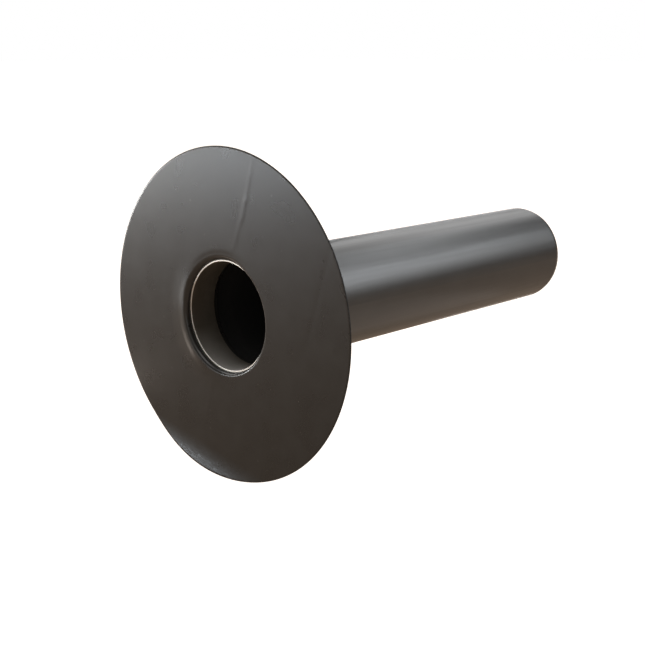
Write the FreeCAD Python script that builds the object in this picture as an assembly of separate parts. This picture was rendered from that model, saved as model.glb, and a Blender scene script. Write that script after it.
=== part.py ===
"""Parapet roof outlet: a rubber sheet flange, clamped by a ring in the socket of a drain pipe.

All sizes are in millimetres. The origin is on the pipe's axis, in the plane of the flange's back
face. +Y runs along the pipe to its outlet end, and +Z is up.
"""

import FreeCAD, Part
import math
import os

# Rubber flange: a round sheet whose inner rim is turned back into the pipe's socket
FLANGE_DIAMETER = 320.0
SHEET_THICKNESS = 1.5
LIP_RADIUS = 6.0
COLLAR_TAIL = 5.0

# Clamp ring: a short length of tube that presses the collar against the socket
RING_OUTER_DIAMETER = 108.0
RING_WALL = 1.6
RING_LENGTH = 30.0
RING_SETBACK = 4.3
RING_EDGE_CHAMFER = 0.3

# Drain pipe: a plain spigot at the outlet end and a widened socket behind the flange
PIPE_DIAMETER = 110.0
PIPE_WALL = 3.2
PIPE_REACH = 493.0
SPIGOT_CHAMFER_LENGTH = 5.0
SPIGOT_CHAMFER_ANGLE = 15.0
SOCKET_WALL = 3.2
SOCKET_MOUTH_RADIUS = 2.5
SOCKET_TAIL = 7.0
SHOULDER_LENGTH = 14.0

# Radial room left between pieces that press on each other
FIT_GAP = 0.05

# Most of a wall's thickness that its eased edges may take
EASED_SHARE = 0.9

# Radii of the stack, from the ring outwards
ring_outer = RING_OUTER_DIAMETER / 2
ring_inner = ring_outer - RING_WALL
collar_inner = ring_outer + FIT_GAP
collar_outer = collar_inner + SHEET_THICKNESS
socket_inner = collar_outer + FIT_GAP
socket_outer = socket_inner + SOCKET_WALL
pipe_outer = PIPE_DIAMETER / 2
pipe_inner = pipe_outer - PIPE_WALL

# Places along the axis, from the flange's front face to the outlet end
flange_front = -SHEET_THICKNESS
lip_end = flange_front + LIP_RADIUS
ring_front = flange_front + RING_SETBACK
ring_end = ring_front + RING_LENGTH
collar_end = ring_end + COLLAR_TAIL
socket_end = collar_end + SOCKET_TAIL
shoulder_end = socket_end + SHOULDER_LENGTH
pipe_end = PIPE_REACH


def point(radius, along):
    """A point of a profile: its distance from the axis and its place along the axis."""
    return FreeCAD.Vector(radius, along, 0)


def line(start, end):
    """A straight edge of a profile."""
    return Part.LineSegment(start, end).toShape()


def quarter_arc(start, centre, end):
    """A quarter circle from start to end about centre."""
    outward = (start - centre) + (end - centre)
    middle = centre + outward.normalize() * (start - centre).Length
    return Part.Arc(start, middle, end).toShape()


def shoulder_edges(start, end):
    """Two equal arcs that leave start and reach end along the axis, tangent where they meet."""
    step = end.x - start.x
    run = end.y - start.y
    radius = (run**2 + step**2) / (4 * abs(step))
    turn = math.asin(run / 2 / radius) / 2
    side = math.copysign(1.0, step)
    lean = point(side * radius * (1 - math.cos(turn)), math.copysign(radius * math.sin(turn), run))
    middle = (start + end) / 2
    return [
        Part.Arc(start, start + lean, middle).toShape(),
        Part.Arc(middle, end - lean, end).toShape(),
    ]


def turned(edges):
    """The solid that a closed profile sweeps round the pipe's axis."""
    face = Part.Face(Part.Wire(edges))
    solid = face.revolve(FreeCAD.Vector(0, 0, 0), FreeCAD.Vector(0, 1, 0), 360)
    return Part.makeSolid(Part.makeShell(solid.Faces))


def rubber_flange():
    """The flat sheet, the lip that rolls into the pipe and the collar behind the ring."""
    rim = FLANGE_DIAMETER / 2
    lip_start = collar_inner + LIP_RADIUS
    lip_centre = point(lip_start, lip_end)
    front_rim = point(rim, flange_front)
    back_rim = point(rim, 0)
    front_lip = point(lip_start, flange_front)
    back_lip = point(lip_start, 0)
    collar_face = point(collar_inner, lip_end)
    collar_back = point(collar_outer, lip_end)
    tail_face = point(collar_inner, collar_end)
    tail_back = point(collar_outer, collar_end)
    return turned([
        line(front_rim, front_lip),
        quarter_arc(front_lip, lip_centre, collar_face),
        line(collar_face, tail_face),
        line(tail_face, tail_back),
        line(tail_back, collar_back),
        quarter_arc(collar_back, lip_centre, back_lip),
        line(back_lip, back_rim),
        line(back_rim, front_rim),
    ])


def clamp_ring():
    """The short tube inside the collar, with its cut edges chamfered."""
    chamfer = min(RING_EDGE_CHAMFER, EASED_SHARE * RING_WALL / 2)
    corners = [
        point(ring_inner + chamfer, ring_front),
        point(ring_outer - chamfer, ring_front),
        point(ring_outer, ring_front + chamfer),
        point(ring_outer, ring_end - chamfer),
        point(ring_outer - chamfer, ring_end),
        point(ring_inner + chamfer, ring_end),
        point(ring_inner, ring_end - chamfer),
        point(ring_inner, ring_front + chamfer),
    ]
    following = corners[1:] + corners[:1]
    return turned([line(start, end) for start, end in zip(corners, following)])


def outlet_pipe():
    """The pipe: rounded socket mouth, socket, shoulder, straight run and chamfered spigot end."""
    mouth_radius = min(SOCKET_MOUTH_RADIUS, EASED_SHARE * SOCKET_WALL)
    mouth_front = lip_end - mouth_radius
    chamfer_depth = SPIGOT_CHAMFER_LENGTH * math.tan(math.radians(SPIGOT_CHAMFER_ANGLE))
    mouth_inner = point(socket_inner, lip_end)
    mouth_centre = point(socket_inner + mouth_radius, lip_end)
    mouth_edge = point(socket_inner + mouth_radius, mouth_front)
    front_outer = point(socket_outer, mouth_front)
    outer_socket = point(socket_outer, socket_end)
    outer_run = point(pipe_outer, shoulder_end)
    outer_chamfer = point(pipe_outer, pipe_end - SPIGOT_CHAMFER_LENGTH)
    end_outer = point(pipe_outer - chamfer_depth, pipe_end)
    end_inner = point(pipe_inner, pipe_end)
    inner_run = point(pipe_inner, shoulder_end)
    inner_socket = point(socket_inner, socket_end)
    return turned([
        quarter_arc(mouth_inner, mouth_centre, mouth_edge),
        line(mouth_edge, front_outer),
        line(front_outer, outer_socket),
        *shoulder_edges(outer_socket, outer_run),
        line(outer_run, outer_chamfer),
        line(outer_chamfer, end_outer),
        line(end_outer, end_inner),
        line(end_inner, inner_run),
        *shoulder_edges(inner_run, inner_socket),
        line(inner_socket, mouth_inner),
    ])


def main():
    """Builds each piece, says its volume and writes it to its own file."""
    os.makedirs("parts", exist_ok=True)
    for piece in (rubber_flange, clamp_ring, outlet_pipe):
        shape = piece()
        name = piece.__name__
        print(name, "valid" if shape.isValid() else "INVALID", round(shape.Volume), "mm3")
        shape.exportStep(f"parts/{name}.step")


main()
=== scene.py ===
import math

import bmesh
import bpy
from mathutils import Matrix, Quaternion, Vector


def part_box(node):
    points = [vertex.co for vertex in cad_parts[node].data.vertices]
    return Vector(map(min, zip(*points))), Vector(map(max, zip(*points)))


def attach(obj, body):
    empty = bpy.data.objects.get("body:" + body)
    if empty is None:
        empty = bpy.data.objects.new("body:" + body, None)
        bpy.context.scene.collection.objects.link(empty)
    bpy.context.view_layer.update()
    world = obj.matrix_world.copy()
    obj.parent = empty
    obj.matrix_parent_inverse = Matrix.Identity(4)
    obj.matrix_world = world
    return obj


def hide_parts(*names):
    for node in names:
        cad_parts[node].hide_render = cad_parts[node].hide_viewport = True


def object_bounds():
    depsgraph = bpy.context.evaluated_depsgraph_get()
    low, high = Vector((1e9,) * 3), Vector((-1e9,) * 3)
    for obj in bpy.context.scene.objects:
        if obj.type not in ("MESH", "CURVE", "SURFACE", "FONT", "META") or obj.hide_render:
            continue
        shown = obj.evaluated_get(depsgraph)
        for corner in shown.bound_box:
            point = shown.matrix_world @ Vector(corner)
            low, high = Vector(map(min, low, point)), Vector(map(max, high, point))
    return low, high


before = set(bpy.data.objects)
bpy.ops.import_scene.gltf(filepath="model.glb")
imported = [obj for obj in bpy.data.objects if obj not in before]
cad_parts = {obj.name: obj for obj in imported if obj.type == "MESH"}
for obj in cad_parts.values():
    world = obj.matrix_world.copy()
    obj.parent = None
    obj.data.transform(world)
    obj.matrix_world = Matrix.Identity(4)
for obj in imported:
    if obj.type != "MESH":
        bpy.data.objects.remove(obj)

cad_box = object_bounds()
mm = 0.001
QUARTER_TURN = math.radians(90.0)
FULL_TURN = math.radians(360.0)

# The photograph's view: where the camera stands and what it looks at, in metres
CAMERA_PLACE = (0.8003, -0.7166, 0.2470)
CAMERA_AIM = (0.0, 0.1338, -0.0284)
CAMERA_LENS = 65.03
SENSOR_WIDTH = 36.0

# The flange's sheet: thickness, the roll into the socket and how finely it is divided
SHEET = 1.5 * mm
LIP_RADIUS = 6.0 * mm
RING_CLEARANCE = 0.05 * mm
SHEET_SEGMENTS = 288
FLAT_STEP = 2.0 * mm
LIP_STEPS = 12
COLLAR_STEPS = 6

# The sheet's cut edges are the sharp ones; they are eased, and gentler turns are shaded smooth
RIM_EASE = 0.25 * mm
CUT_EDGE_ANGLE = math.radians(60.0)
SMOOTH_ANGLE = math.radians(40.0)

# How near a place must be to a point, to one of the roll's rings and to a line to count as on it
ON_POINT = 0.01 * mm
ON_RING = 0.02 * mm
ON_LINE = 0.1 * mm

# Old folds, each given by two points on it, in x and z: one runs past the mouth, one near the right
# rim, and a short kink branches off the first above the mouth
MOUTH_FOLD = ((42 * mm, 150 * mm), (-28 * mm, -100 * mm))
SIDE_FOLD = ((135 * mm, 75 * mm), (68 * mm, -135 * mm))
KINK_FOLD = ((26 * mm, 96 * mm), (13 * mm, 64 * mm))

# Each fold has edges along it and beside it, clear of the roll, and its crest eases out over its reach
FOLD_LINES = (-5.0 * mm, -2.5 * mm, 0.0, 2.5 * mm, 5.0 * mm)
FOLD_REACH = 5.0 * mm
FOLD_CLEARANCE = 1.0 * mm

# Stretches of the folds: where each begins and ends along its fold, and how far back it is pushed;
# with a minus it stands forward
FOLD_STRETCHES = (
    (MOUTH_FOLD, -10 * mm, 15 * mm, -0.05 * mm),
    (MOUTH_FOLD, 15 * mm, 38 * mm, -0.08 * mm),
    (MOUTH_FOLD, 38 * mm, 56 * mm, -0.11 * mm),
    (KINK_FOLD, 2 * mm, 30 * mm, -0.05 * mm),
    (MOUTH_FOLD, 225 * mm, 258 * mm, -0.06 * mm),
    (SIDE_FOLD, -10 * mm, 78 * mm, 0.05 * mm),
    (SIDE_FOLD, 78 * mm, 205 * mm, 0.03 * mm),
)

# Small marks in the flat, a pimple and a dent: x, z, depth and reach of each
PALE_MARK = (140 * mm, -5 * mm, -0.10 * mm, 4.0 * mm)
DARK_MARK = (-28 * mm, 122 * mm, 0.08 * mm, 3.5 * mm)

# The rim's bottom, a little to the left, curls forward at straight lines: the first lies CURL_START
# from the middle, and the steps between them grow
CURL_SIDE = math.radians(258.5)
CURL_START = 135.7 * mm
CURL_LINES = 10
CURL_STEP = 1.0 * mm
CURL_SPREAD = 0.12 * mm
CURL_TURN = math.radians(1.35)

# The lip rolls in more tightly at the right of the mouth, and a little less so at the left;
# both fade out sideways in small parts, and under the mouth one fade runs into the other
RIGHT_ROLL = 3.2 * mm
RIGHT_SIDES = (math.radians(287.6), math.radians(56.0))
LEFT_ROLL = 3.7 * mm
LEFT_SIDES = (math.radians(176.0), math.radians(262.9))
ROLL_FADE = math.radians(25.0)
ROLL_FADE_PARTS = 20

# At the left the sheet swells forward before it rolls in: depth and reach of a narrow swelling and
# of a wide one, and how far outside the roll their crest lies
LEFT_SWELLS = ((-0.75 * mm, 8.0 * mm), (-0.9 * mm, 22.0 * mm))
SWELL_OUTSIDE_ROLL = 0.75 * mm
SWELL_CREST = 0.3 * mm
SWELL_SIDES = (math.radians(188.0), math.radians(222.0))
SWELL_FADE = math.radians(42.0)

# Above the mouth the front face dips a little
TOP_DIP = 0.25 * mm
DIP_SIDES = (math.radians(85.0), math.radians(120.0))
DIP_REACH = 5.0 * mm
DIP_FADE = math.radians(32.0)

# The swelling and the dip fade out sideways in this many equal parts, each wider than the last
FADE_PARTS = 12

# The rubber's finish: patches, specks and grain per metre, colours and roughness
RUBBER_PATCHES = 42.0
RUBBER_SPECKS = 90.0
RUBBER_GRAIN = 350.0
RUBBER_DARK = (0.017, 0.016, 0.015, 1.0)
RUBBER_PALE = (0.023, 0.022, 0.0205, 1.0)
RUBBER_DUST = (0.052, 0.050, 0.047, 1.0)
# The cut rim's near black is painted shade: it darkens the sheet's cut edge as a shadow would
RUBBER_CUT_PAINTED_SHADE = (0.006, 0.006, 0.006, 1.0)
RUBBER_ROUGHNESS = (0.265, 0.295)
RUBBER_CUT_ROUGHNESS = 0.8

# The pipe's finish: its drawn lines are long in y
PLASTIC_PATCHES = 30.0
PLASTIC_SPECKS = 110.0
PLASTIC_LINES = (420.0, 5.0, 420.0)
PLASTIC_DARK = (0.034, 0.032, 0.030, 1.0)
PLASTIC_PALE = (0.042, 0.040, 0.037, 1.0)
PLASTIC_DUST = (0.05, 0.048, 0.046, 1.0)
# The inside colour is painted shade: it makes the bore near black, as if deep in shadow
PLASTIC_INSIDE_PAINTED_SHADE = (0.002, 0.002, 0.002, 1.0)
PLASTIC_ROUGHNESS = (0.30, 0.37)
PLASTIC_INSIDE_ROUGHNESS = 1.0

# The ring's finish: its rolled lines run round it, its cut front edge is bright to a small depth, and
# low down, from this share of its radius below the middle, painted light makes its wall paler towards
# the mouth
STEEL_PATCHES = 60.0
STEEL_LINES = (30.0, 2600.0, 30.0)
STEEL_FILM_DARK = (0.23, 0.205, 0.17, 1.0)
STEEL_FILM_PALE = (0.28, 0.255, 0.22, 1.0)
# This pale colour is painted light on the ring's lower wall near the mouth
STEEL_PAINTED_LIGHT = (0.80, 0.78, 0.76, 1.0)
STEEL_CUT = (0.86, 0.84, 0.80, 1.0)
STEEL_ROUGHNESS = (0.55, 0.68)
STEEL_CUT_ROUGHNESS = 0.52
STEEL_CUT_DEPTH = 0.3 * mm
STEEL_CUT_FADE = 0.4 * mm
STEEL_PAINTED_LIGHT_FROM = 0.35

# Relief of the rubber's grain, the pipe's lines and the ring's lines
FINE_RELIEF = 0.01 * mm

# The floor: its own dim warm colour and glow, and the white that the camera sees over them
FLOOR_SIZE = 60.0
FLOOR_DROP = 0.5 * mm
FLOOR_COLOUR = (0.34, 0.28, 0.24, 1.0)
FLOOR_GLOW = (1.0, 0.68, 0.42, 1.0)
FLOOR_GLOW_STRENGTH = 0.23
FLOOR_WHITENING = 0.95

# Softboxes: name, place, what it faces, width and height, radiance, colour, roll in degrees
SOFT_LIGHTS = (
    ("window_left", (-3.12, -1.59, -0.045), (0, 0, -0.045), (0.62, 0.17), 72.0, (0.97, 0.99, 0.99), 0),
    ("window_right", (-2.475, -2.475, -0.045), (0, 0, -0.045), (0.62, 0.17), 27.5,
     (0.84, 0.92, 1.0), 0),
    ("floor_reflector", (-0.42, -0.085, -0.157), (-0.42, -0.085, 1.0), (0.22, 0.06), 3.9,
     (1.0, 0.89, 0.81), 15),
    ("window_glow", (-2.60, -2.30, 0.32), (0, 0, 0), (1.3, 0.4), 1.8, (1.0, 0.82, 0.62), 0),
    ("front_strip", (-1.12, -2.78, 0.03), (0, 0, 0.03), (0.9, 0.33), 2.2, (1.0, 0.92, 0.86), 0),
    ("front_fill", (1.4, -2.3, 1.35), (0, 0, 0), (1.6, 1.6), 0.9, (1.0, 0.96, 0.92), 0),
    ("camera_fill", (1.7, -1.9, 0.25), (0, 0, 0), (1.0, 0.6), 1.6, (1.0, 0.99, 0.98), 0),
    ("right_reflector", (0.45, 0.3, -0.155), (0.45, 0.3, 1.0), (0.8, 0.5), 0.3, (1.0, 0.93, 0.87), 0),
    ("back_reflector", (-0.8, 0.95, -0.155), (-0.8, 0.95, 1.0), (1.4, 0.9), 2.2, (1.0, 0.97, 0.94), 0),
    ("back_horizon", (-1.95, 2.65, 0.2), (0, 0.25, 0.2), (1.9, 0.6), 2.2, (1.0, 1.0, 1.0), 0),
    ("back_strip_low", (1.75, 2.2, 0.62), (1.75, 0, 0.62), (1.5, 0.34), 4.5, (0.96, 0.98, 1.0), 22),
    ("left_softbox", (-2.3, -0.4, 1.9), (0, 0, 0), (1.9, 1.9), 3.0, (1.0, 0.99, 0.97), 0),
    ("top_softbox", (0.0, -1.1, 1.9), (0, 0, 0), (1.6, 1.3), 2.0, (1.0, 0.98, 0.95), 0),
    ("back_strip_right", (1.72, 2.2, 1.34), (1.72, 0, 1.34), (1.7, 1.2), 7.3, (0.92, 0.96, 1.0), 22),
    ("back_strip_left", (0.62, 2.2, 1.78), (0.62, 0, 1.78), (1.95, 0.55), 5.8, (0.94, 0.97, 1.0), 8),
    ("back_fill", (-1.05, 2.2, 1.35), (-1.05, 0, 1.35), (1.4, 1.3), 2.2, (1.0, 1.0, 1.0), 0),
)

flange_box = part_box("rubber_flange")
ring_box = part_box("clamp_ring")
rim_radius = flange_box[1].x
front = flange_box[0].y
collar_end = flange_box[1].y
ring_front = ring_box[0].y
ring_back = ring_box[1].y
collar_radius = ring_box[1].x + RING_CLEARANCE
lip_start = collar_radius + LIP_RADIUS
lip_end = front + LIP_RADIUS


def deselect():
    """Leaves nothing selected, so that the next operator acts on its own piece only."""
    bpy.ops.object.select_all(action="DESELECT")


def pick_vertices(sheet, wanted):
    """In edit mode, selects just the vertices in sight whose place passes the test."""
    shape = bmesh.from_edit_mesh(sheet.data)
    for vertex in shape.verts:
        vertex.select_set(not vertex.hide and wanted(vertex.co))
    shape.select_flush_mode()
    bmesh.update_edit_mesh(sheet.data)


def off_axis(place):
    """How far a place is from the pipe's axis."""
    return math.hypot(place.x, place.z)


def bearing(place):
    """The direction of a place seen from the mouth's middle, from 0 at the right, anticlockwise."""
    return math.atan2(place.z, place.x) % FULL_TURN


def between(place, sides, spread):
    """Whether a place lies between two bearings, anticlockwise, with some spread on both sides."""
    width = (sides[1] - sides[0]) % FULL_TURN + 2 * spread
    return (bearing(place) - sides[0] + spread) % FULL_TURN < width


# The rubber flange

def sheet_rings():
    """Radius and depth of each ring of the sheet inside the rim: flat, roll and collar."""
    rings = []
    flat_count = round((rim_radius - lip_start) / FLAT_STEP)
    for i in range(1, flat_count + 1):
        rings.append((rim_radius + (lip_start - rim_radius) * i / flat_count, front))
    for i in range(1, LIP_STEPS + 1):
        turn = QUARTER_TURN * i / LIP_STEPS
        rings.append((lip_start - LIP_RADIUS * math.sin(turn), lip_end - LIP_RADIUS * math.cos(turn)))
    for i in range(1, COLLAR_STEPS + 1):
        rings.append((collar_radius, lip_end + (collar_end - lip_end) * i / COLLAR_STEPS))
    return rings


def draw_sheet():
    """The sheet's front face, drawn inwards ring by ring from the rim to the collar's end."""
    deselect()
    bpy.ops.mesh.primitive_circle_add(vertices=SHEET_SEGMENTS, radius=rim_radius,
                                      location=(0, front, 0), rotation=(QUARTER_TURN, 0, 0))
    sheet = bpy.context.object
    sheet.name = "flange_sheet"
    bpy.ops.object.transform_apply(location=True, rotation=True, scale=True)
    bpy.ops.object.mode_set(mode="EDIT")
    bpy.ops.mesh.select_mode(type="VERT")
    bpy.ops.mesh.select_all(action="SELECT")
    last_radius = rim_radius
    last_depth = front
    for radius, depth in sheet_rings():
        inwards = radius / last_radius
        bpy.ops.mesh.extrude_edges_indiv()
        bpy.ops.transform.resize(value=(inwards, 1, inwards), center_override=(0, 0, 0))
        bpy.ops.transform.translate(value=(0, depth - last_depth, 0))
        last_radius = radius
        last_depth = depth
    return sheet


def fold_frame(fold):
    """A fold's first point, its direction and the direction across it, all in the sheet's plane."""
    start = Vector((fold[0][0], 0, fold[0][1]))
    along = (Vector((fold[1][0], 0, fold[1][1])) - start).normalized()
    across = Vector((-along.z, 0, along.x))
    return start, along, across


def mark_fold(sheet, fold):
    """Cuts edges along a fold and beside it, for the fold's crest and its flanks."""
    start, along, across = fold_frame(fold)
    for offset in FOLD_LINES:
        pick_vertices(sheet, lambda place: off_axis(place) > lip_start + FOLD_CLEARANCE)
        bpy.ops.mesh.bisect(plane_co=start + across * offset, plane_no=across)


def lift(depth, reach, falloff="SMOOTH"):
    """Moves what is selected along the pipe's axis, easing out over the reach."""
    bpy.ops.transform.translate(value=(0, depth, 0), use_proportional_edit=True,
                                proportional_edit_falloff=falloff, proportional_size=reach)


def shape_fold(sheet, fold, first, last, depth):
    """Pushes a fold's crest back, or forward with a minus, between two distances along it."""
    start, along, across = fold_frame(fold)

    def on_crest(place):
        from_start = Vector((place.x, 0, place.z)) - start
        on_flat = off_axis(place) > lip_start + FOLD_REACH
        in_stretch = first <= from_start.dot(along) <= last
        return on_flat and in_stretch and abs(from_start.dot(across)) < ON_LINE

    pick_vertices(sheet, on_crest)
    lift(depth, FOLD_REACH)


def press_mark(sheet, mark):
    """Makes a small dent, or a pimple with a minus depth, in the flat at a place given in x and z."""
    across, up, depth, reach = mark
    middle = Vector((across, front, up))
    shape = bmesh.from_edit_mesh(sheet.data)
    nearest = min(shape.verts, key=lambda vertex: (vertex.co - middle).length)
    spot = nearest.co.copy()
    pick_vertices(sheet, lambda place: (place - spot).length < ON_POINT)
    lift(depth, reach)


def curl_rim(sheet):
    """Turns the rim's bottom forward, a little more at each of several straight lines."""
    outwards = Vector((math.cos(CURL_SIDE), 0, math.sin(CURL_SIDE)))
    about_x = -CURL_TURN * outwards.z
    about_z = CURL_TURN * outwards.x
    for i in range(CURL_LINES):
        line = CURL_START + i * CURL_STEP + i * i * CURL_SPREAD
        centre = outwards * line + Vector((0, front, 0))
        bpy.ops.mesh.select_all(action="SELECT")
        bpy.ops.mesh.bisect(plane_co=centre, plane_no=outwards)

        def past_line(place):
            return Vector((place.x, 0, place.z)).dot(outwards) > line + ON_POINT

        pick_vertices(sheet, past_line)
        bpy.ops.transform.rotate(value=about_x, orient_axis="X", center_override=centre)
        bpy.ops.transform.rotate(value=about_z, orient_axis="Z", center_override=centre)


def tighten_roll(sheet, sides, roll):
    """Brings the roll's rings forward on one side of the mouth.

    There the sheet stays flat for longer and then turns in sharply.
    """
    pick_vertices(sheet, lambda place: off_axis(place) > lip_start or place.y > lip_end + ON_LINE)
    bpy.ops.mesh.hide()
    for i in range(1, LIP_STEPS + 1):
        turn = QUARTER_TURN * i / LIP_STEPS
        radius = lip_start - LIP_RADIUS * math.sin(turn)
        inside = max(0.0, collar_radius + roll - radius)
        depth = roll - math.sqrt(max(0.0, roll ** 2 - inside ** 2))
        shift = depth - LIP_RADIUS * (1.0 - math.cos(turn))
        for part in range(ROLL_FADE_PARTS):
            def on_ring(place):
                spread = ROLL_FADE * part / ROLL_FADE_PARTS
                return abs(off_axis(place) - radius) < ON_RING and between(place, sides, spread)

            pick_vertices(sheet, on_ring)
            bpy.ops.transform.translate(value=(0, shift / ROLL_FADE_PARTS, 0))
    bpy.ops.mesh.reveal(select=False)


def swell_left(sheet):
    """Brings the sheet forward in a low swelling to the left of the mouth."""
    crest_radius = collar_radius + LEFT_ROLL + SWELL_OUTSIDE_ROLL
    for part in range(FADE_PARTS):
        def on_swelling(place):
            on_crest = abs(off_axis(place) - crest_radius) < SWELL_CREST
            return on_crest and between(place, SWELL_SIDES, SWELL_FADE * part / FADE_PARTS)

        pick_vertices(sheet, on_swelling)
        for depth, reach in LEFT_SWELLS:
            lift(depth / FADE_PARTS, reach)


def behind_front(place):
    """How far a place lies behind the sheet's front face as it was drawn."""
    if off_axis(place) > lip_start:
        return place.y - front
    if place.y > lip_end:
        return off_axis(place) - collar_radius
    return LIP_RADIUS - math.hypot(lip_start - off_axis(place), lip_end - place.y)


def dip_front(sheet):
    """Presses the front face in above the mouth, where the rubber is drawn thinner; the back stays."""
    bpy.ops.object.mode_set(mode="EDIT")
    bpy.ops.mesh.select_mode(type="VERT")
    # Whatever lies more than about half a sheet behind the front belongs to the back
    pick_vertices(sheet, lambda place: behind_front(place) > 0.6 * SHEET)
    bpy.ops.mesh.hide()
    for part in range(FADE_PARTS):
        def above_mouth(place):
            at_roll = abs(off_axis(place) - lip_start) < ON_LINE and place.y < lip_end
            return at_roll and between(place, DIP_SIDES, DIP_FADE * part / FADE_PARTS)

        pick_vertices(sheet, above_mouth)
        lift(TOP_DIP / FADE_PARTS, DIP_REACH, "SHARP")
    bpy.ops.mesh.reveal(select=False)
    bpy.ops.object.mode_set(mode="OBJECT")


def turn_faces_forward(sheet):
    """Makes the open sheet's faces agree and look to the front."""
    bpy.ops.mesh.select_all(action="SELECT")
    bpy.ops.mesh.remove_doubles(threshold=ON_POINT)
    bpy.ops.mesh.normals_make_consistent(inside=False)
    bpy.ops.object.mode_set(mode="OBJECT")
    if sum(face.normal.y * face.area for face in sheet.data.polygons) > 0:
        bpy.ops.object.mode_set(mode="EDIT")
        bpy.ops.mesh.select_all(action="SELECT")
        bpy.ops.mesh.flip_normals()
        bpy.ops.object.mode_set(mode="OBJECT")


def thicken(sheet):
    """Gives the sheet its thickness, behind the face that was drawn."""
    thickness = sheet.modifiers.new("sheet_thickness", "SOLIDIFY")
    thickness.thickness = SHEET
    thickness.offset = -1.0
    thickness.use_even_offset = True
    bpy.ops.object.modifier_apply(modifier=thickness.name)


def ease_rim(sheet):
    """Takes the sharpness off the sheet's cut edges."""
    bpy.ops.object.mode_set(mode="EDIT")
    bpy.ops.mesh.select_mode(type="EDGE")
    shape = bmesh.from_edit_mesh(sheet.data)
    for edge in shape.edges:
        edge.select_set(edge.calc_face_angle(0.0) > CUT_EDGE_ANGLE)
    bmesh.update_edit_mesh(sheet.data)
    bpy.ops.mesh.bevel(offset=RIM_EASE, segments=2, affect="EDGES")
    bpy.ops.object.mode_set(mode="OBJECT")


def rubber_flange():
    """The flange as one sheet: drawn, folded, curled and rolled, then given its thickness."""
    sheet = draw_sheet()
    for fold in (MOUTH_FOLD, SIDE_FOLD, KINK_FOLD):
        mark_fold(sheet, fold)
    for fold, first, last, depth in FOLD_STRETCHES:
        shape_fold(sheet, fold, first, last, depth)
    press_mark(sheet, PALE_MARK)
    press_mark(sheet, DARK_MARK)
    curl_rim(sheet)
    tighten_roll(sheet, RIGHT_SIDES, RIGHT_ROLL)
    tighten_roll(sheet, LEFT_SIDES, LEFT_ROLL)
    swell_left(sheet)
    turn_faces_forward(sheet)
    thicken(sheet)
    dip_front(sheet)
    ease_rim(sheet)
    bpy.ops.object.shade_smooth_by_angle(angle=SMOOTH_ANGLE)
    sheet.data.materials.append(rubber_material())
    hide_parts("rubber_flange")
    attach(sheet, "root")


# Finishes

def shader_nodes(name):
    """A new material with its nodes, its links and its Principled shader."""
    material = bpy.data.materials.new(name)
    material.use_nodes = True
    tree = material.node_tree
    return material, tree.nodes, tree.links, tree.nodes["Principled BSDF"]


def new_group(name, setting, kind, output):
    """An empty node group that takes a place and one setting, and puts out one value."""
    group = bpy.data.node_groups.new(name, "ShaderNodeTree")
    group.interface.new_socket("Place", in_out="INPUT", socket_type="NodeSocketVector")
    group.interface.new_socket(setting, in_out="INPUT", socket_type=kind)
    group.interface.new_socket(output, in_out="OUTPUT", socket_type="NodeSocketFloat")
    entry = group.nodes.new("NodeGroupInput")
    result = group.nodes.new("NodeGroupOutput")
    return group, group.nodes, group.links, entry, result


def add_noise(nodes, detail, roughness):
    """A noise texture with its fineness set and its scale and place still open."""
    texture = nodes.new("ShaderNodeTexNoise")
    texture.inputs["Detail"].default_value = detail
    texture.inputs["Roughness"].default_value = roughness
    return texture


def remap(nodes, links, source, low, high, to_low=0.0, to_high=1.0):
    """Stretches a value from one range to another, held at the ends."""
    stretch = nodes.new("ShaderNodeMapRange")
    stretch.inputs["From Min"].default_value = low
    stretch.inputs["From Max"].default_value = high
    stretch.inputs["To Min"].default_value = to_low
    stretch.inputs["To Max"].default_value = to_high
    links.new(source, stretch.inputs["Value"])
    return stretch.outputs["Result"]


def plug(links, source, socket):
    """Links a node's output to a socket, or sets a plain number or colour on it."""
    if isinstance(source, bpy.types.NodeSocket):
        links.new(source, socket)
    else:
        socket.default_value = source


def mix_colours(nodes, links, mask, first, second):
    """Goes from the first colour to the second as the mask rises."""
    mix = nodes.new("ShaderNodeMix")
    mix.data_type = "RGBA"
    links.new(mask, mix.inputs[0])
    plug(links, first, mix.inputs[6])
    plug(links, second, mix.inputs[7])
    return mix.outputs[2]


def mix_values(nodes, links, mask, first, second):
    """Goes from the first value to the second as the mask rises."""
    mix = nodes.new("ShaderNodeMix")
    links.new(mask, mix.inputs[0])
    plug(links, first, mix.inputs[2])
    plug(links, second, mix.inputs[3])
    return mix.outputs[0]


def multiply(nodes, links, first, second):
    """A mask that is strong only where both masks are."""
    product = nodes.new("ShaderNodeMath")
    product.operation = "MULTIPLY"
    links.new(first, product.inputs[0])
    links.new(second, product.inputs[1])
    return product.outputs[0]


def mottling_group():
    """Soft cloudy patches, as handling and a thin film of dust leave on dark rubber and plastic."""
    group, nodes, links, entry, result = new_group("mottling", "Scale", "NodeSocketFloat", "Patches")
    clouds = add_noise(nodes, 2.0, 0.45)
    links.new(entry.outputs["Place"], clouds.inputs["Vector"])
    links.new(entry.outputs["Scale"], clouds.inputs["Scale"])
    patches = remap(nodes, links, clouds.outputs["Fac"], 0.2, 0.8)
    links.new(patches, result.inputs["Patches"])
    return group


def specks_group():
    """Sparse pale specks of dust and lint."""
    group, nodes, links, entry, result = new_group("dust_specks", "Scale", "NodeSocketFloat", "Specks")
    cells = nodes.new("ShaderNodeTexVoronoi")
    links.new(entry.outputs["Place"], cells.inputs["Vector"])
    links.new(entry.outputs["Scale"], cells.inputs["Scale"])
    dots = remap(nodes, links, cells.outputs["Distance"], 0.05, 0.16, 1.0, 0.0)
    few = remap(nodes, links, cells.outputs["Color"], 0.82, 0.92)
    links.new(multiply(nodes, links, dots, few), result.inputs["Specks"])
    return group


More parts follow.
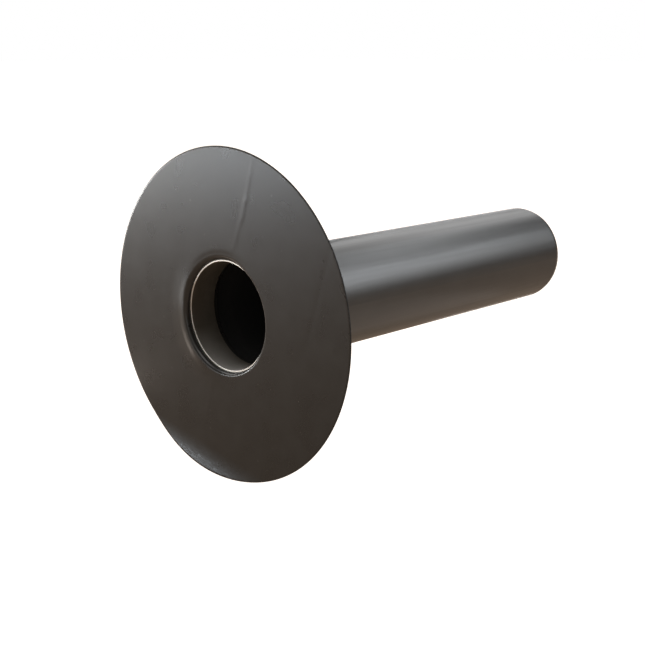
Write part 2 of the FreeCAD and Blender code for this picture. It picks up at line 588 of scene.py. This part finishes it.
def drawn_lines_group():
    """Fine streaks, as drawing or rolling leaves them; Stretch sets which way they run."""
    group, nodes, links, entry, result = new_group(
        "drawn_lines", "Stretch", "NodeSocketVector", "Lines")
    stretched = nodes.new("ShaderNodeVectorMath")
    stretched.operation = "MULTIPLY"
    links.new(entry.outputs["Place"], stretched.inputs[0])
    links.new(entry.outputs["Stretch"], stretched.inputs[1])
    streaks = add_noise(nodes, 3.0, 0.55)
    streaks.inputs["Scale"].default_value = 1.0
    links.new(stretched.outputs[0], streaks.inputs["Vector"])
    lines = remap(nodes, links, streaks.outputs["Fac"], 0.3, 0.7)
    links.new(lines, result.inputs["Lines"])
    return group


def place_group(nodes, links, group, place, label, value):
    """Places a node group in a material, with its own scale or stretch."""
    node = nodes.new("ShaderNodeGroup")
    node.node_tree = group
    links.new(place, node.inputs["Place"])
    node.inputs[label].default_value = value
    return node.outputs[0]


def object_place(nodes):
    """Where a point of the surface is, in the part's own frame."""
    return nodes.new("ShaderNodeTexCoord").outputs["Object"]


def outward_reach(nodes, links):
    """Distance from the axis where the surface looks away from it, less where it looks elsewhere."""
    source = nodes.new("ShaderNodeTexCoord")
    across = nodes.new("ShaderNodeVectorMath")
    across.operation = "MULTIPLY"
    across.inputs[1].default_value = (1.0, 0.0, 1.0)
    links.new(source.outputs["Object"], across.inputs[0])
    facing = nodes.new("ShaderNodeVectorMath")
    facing.operation = "DOT_PRODUCT"
    links.new(across.outputs[0], facing.inputs[0])
    links.new(source.outputs["Normal"], facing.inputs[1])
    return facing.outputs["Value"]


def add_bump(nodes, links, shader, height):
    """Gives a finish its fine relief."""
    relief = nodes.new("ShaderNodeBump")
    relief.inputs["Distance"].default_value = FINE_RELIEF
    links.new(height, relief.inputs["Height"])
    links.new(relief.outputs["Normal"], shader.inputs["Normal"])


def rubber_material():
    """Satin black rubber: cloudy patches in the sheen, fine grain, a few specks, a dull cut rim
    darkened with painted shade.
    """
    material, nodes, links, shader = shader_nodes("flange_rubber_sheet")
    place = object_place(nodes)
    patches = place_group(nodes, links, mottling, place, "Scale", RUBBER_PATCHES)
    specks = place_group(nodes, links, dust_specks, place, "Scale", RUBBER_SPECKS)
    clouded = mix_colours(nodes, links, patches, RUBBER_DARK, RUBBER_PALE)
    dusted = mix_colours(nodes, links, specks, clouded, RUBBER_DUST)
    # Only the outer rim looks outwards so far from the axis; there painted shade darkens the colour
    cut_rim_and_painted_shade = remap(nodes, links, outward_reach(nodes, links), 0.5 * rim_radius, 0.8 * rim_radius)
    links.new(mix_colours(nodes, links, cut_rim_and_painted_shade, dusted, RUBBER_CUT_PAINTED_SHADE), shader.inputs["Base Color"])
    sheen = remap(nodes, links, patches, 0.0, 1.0, *RUBBER_ROUGHNESS)
    links.new(mix_values(nodes, links, cut_rim_and_painted_shade, sheen, RUBBER_CUT_ROUGHNESS), shader.inputs["Roughness"])
    grain = add_noise(nodes, 2.0, 0.5)
    grain.inputs["Scale"].default_value = RUBBER_GRAIN
    links.new(place, grain.inputs["Vector"])
    add_bump(nodes, links, shader, grain.outputs["Fac"])
    return material


def plastic_material():
    """Satin black drawn pipe: streaks along it, cloudy patches, a few specks, and a dull inside made
    near black with painted shade.
    """
    material, nodes, links, shader = shader_nodes("pipe_satin_plastic")
    place = object_place(nodes)
    patches = place_group(nodes, links, mottling, place, "Scale", PLASTIC_PATCHES)
    lines = place_group(nodes, links, drawn_lines, place, "Stretch", PLASTIC_LINES)
    specks = place_group(nodes, links, dust_specks, place, "Scale", PLASTIC_SPECKS)
    clouded = mix_colours(nodes, links, patches, PLASTIC_DARK, PLASTIC_PALE)
    dusted = mix_colours(nodes, links, specks, clouded, PLASTIC_DUST)
    # The reach is below nothing on the bore, which looks towards the axis
    outside = remap(nodes, links, outward_reach(nodes, links), -1.0 * mm, 1.0 * mm)
    # On the bore the colour turns to painted shade, near black
    links.new(mix_colours(nodes, links, outside, PLASTIC_INSIDE_PAINTED_SHADE, dusted), shader.inputs["Base Color"])
    sheen = remap(nodes, links, lines, 0.0, 1.0, *PLASTIC_ROUGHNESS)
    roughness = mix_values(nodes, links, outside, PLASTIC_INSIDE_ROUGHNESS, sheen)
    links.new(roughness, shader.inputs["Roughness"])
    add_bump(nodes, links, shader, lines)
    return material


def steel_material():
    """Rolled steel strip: bright on its cut front edge, with a dull brown film on the inner wall.

    Painted light makes the wall paler along the bottom, towards the mouth.
    """
    material, nodes, links, shader = shader_nodes("ring_rolled_steel")
    place = object_place(nodes)
    parted = nodes.new("ShaderNodeSeparateXYZ")
    links.new(place, parted.inputs[0])
    depth = parted.outputs["Y"]
    height = parted.outputs["Z"]
    cut_edge = ring_front + STEEL_CUT_DEPTH
    bright = remap(nodes, links, depth, cut_edge, cut_edge + STEEL_CUT_FADE, 1.0, 0.0)
    lines = place_group(nodes, links, drawn_lines, place, "Stretch", STEEL_LINES)
    patches = place_group(nodes, links, mottling, place, "Scale", STEEL_PATCHES)
    film = mix_colours(nodes, links, patches, STEEL_FILM_DARK, STEEL_FILM_PALE)
    # Painted light: low down and near the mouth the wall is made paler, as light entering the mouth
    # would light it
    low = remap(nodes, links, height, -collar_radius, -STEEL_PAINTED_LIGHT_FROM * collar_radius, 1.0, 0.0)
    painted_light_near_mouth = remap(nodes, links, depth, ring_front, ring_back, 1.0, 0.0)
    wall_film_and_painted_light = mix_colours(nodes, links, multiply(nodes, links, low, painted_light_near_mouth), film, STEEL_PAINTED_LIGHT)
    links.new(mix_colours(nodes, links, bright, wall_film_and_painted_light, STEEL_CUT), shader.inputs["Base Color"])
    dull = remap(nodes, links, lines, 0.0, 1.0, *STEEL_ROUGHNESS)
    links.new(mix_values(nodes, links, bright, dull, STEEL_CUT_ROUGHNESS), shader.inputs["Roughness"])
    shader.inputs["Metallic"].default_value = 1.0
    add_bump(nodes, links, shader, lines)
    return material


def dress(node, material):
    """Gives a carried-over node its finish."""
    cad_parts[node].data.materials.clear()
    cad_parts[node].data.materials.append(material)


# Stage, lights and camera

def add_floor():
    """A pale floor that shows as plain white and throws a dimmer, warmer light back at the part."""
    deselect()
    bpy.ops.mesh.primitive_plane_add(size=FLOOR_SIZE, location=(0, 0, cad_box[0].z - FLOOR_DROP))
    floor = bpy.context.object
    floor.name = "floor"
    material, nodes, links, shader = shader_nodes("floor_white")
    shader.inputs["Base Color"].default_value = FLOOR_COLOUR
    shader.inputs["Roughness"].default_value = 1.0
    shader.inputs["Specular IOR Level"].default_value = 0.0
    shader.inputs["Emission Color"].default_value = FLOOR_GLOW
    shader.inputs["Emission Strength"].default_value = FLOOR_GLOW_STRENGTH
    lifted = nodes.new("ShaderNodeEmission")
    lifted.inputs["Strength"].default_value = FLOOR_WHITENING
    seen = nodes.new("ShaderNodeAddShader")
    path = nodes.new("ShaderNodeLightPath")
    mix = nodes.new("ShaderNodeMixShader")
    links.new(shader.outputs[0], seen.inputs[0])
    links.new(lifted.outputs[0], seen.inputs[1])
    links.new(path.outputs["Is Camera Ray"], mix.inputs[0])
    links.new(shader.outputs[0], mix.inputs[1])
    links.new(seen.outputs[0], mix.inputs[2])
    links.new(mix.outputs[0], nodes["Material Output"].inputs["Surface"])
    floor.data.materials.append(material)


def add_soft_light(name, place, aim, size, radiance, colour, roll):
    """A rectangular softbox that looks equally bright from anywhere in front of it."""
    deselect()
    bpy.ops.object.light_add(type="AREA", location=place)
    lamp = bpy.context.object
    lamp.name = name
    lamp.data.shape = "RECTANGLE"
    lamp.data.size = size[0]
    lamp.data.size_y = size[1]
    lamp.data.energy = radiance * math.pi * size[0] * size[1]
    lamp.data.color = colour
    facing = (Vector(aim) - Vector(place)).to_track_quat("-Z", "Y")
    lamp.rotation_euler = (facing @ Quaternion((0, 0, 1), math.radians(roll))).to_euler()


def add_world():
    """White behind the part for the camera alone, which throws no light; tones show as they are."""
    scene = bpy.context.scene
    world = bpy.data.worlds.new("studio")
    world.use_nodes = True
    nodes = world.node_tree.nodes
    backdrop = nodes["Background"]
    backdrop.inputs["Color"].default_value = (1.0, 1.0, 1.0, 1.0)
    path = nodes.new("ShaderNodeLightPath")
    world.node_tree.links.new(path.outputs["Is Camera Ray"], backdrop.inputs["Strength"])
    scene.world = world
    scene.view_settings.view_transform = "Standard"


def add_camera():
    """The camera at the photograph's angle."""
    deselect()
    bpy.ops.object.camera_add(location=CAMERA_PLACE)
    camera = bpy.context.object
    camera.data.lens = CAMERA_LENS
    camera.data.sensor_width = SENSOR_WIDTH
    direction = Vector(CAMERA_AIM) - Vector(CAMERA_PLACE)
    camera.rotation_euler = direction.to_track_quat("-Z", "Y").to_euler()
    bpy.context.scene.camera = camera


mottling = mottling_group()
dust_specks = specks_group()
drawn_lines = drawn_lines_group()
rubber_flange()
dress("outlet_pipe", plastic_material())
dress("clamp_ring", steel_material())
add_floor()
add_world()
for soft_light in SOFT_LIGHTS:
    add_soft_light(*soft_light)
add_camera()
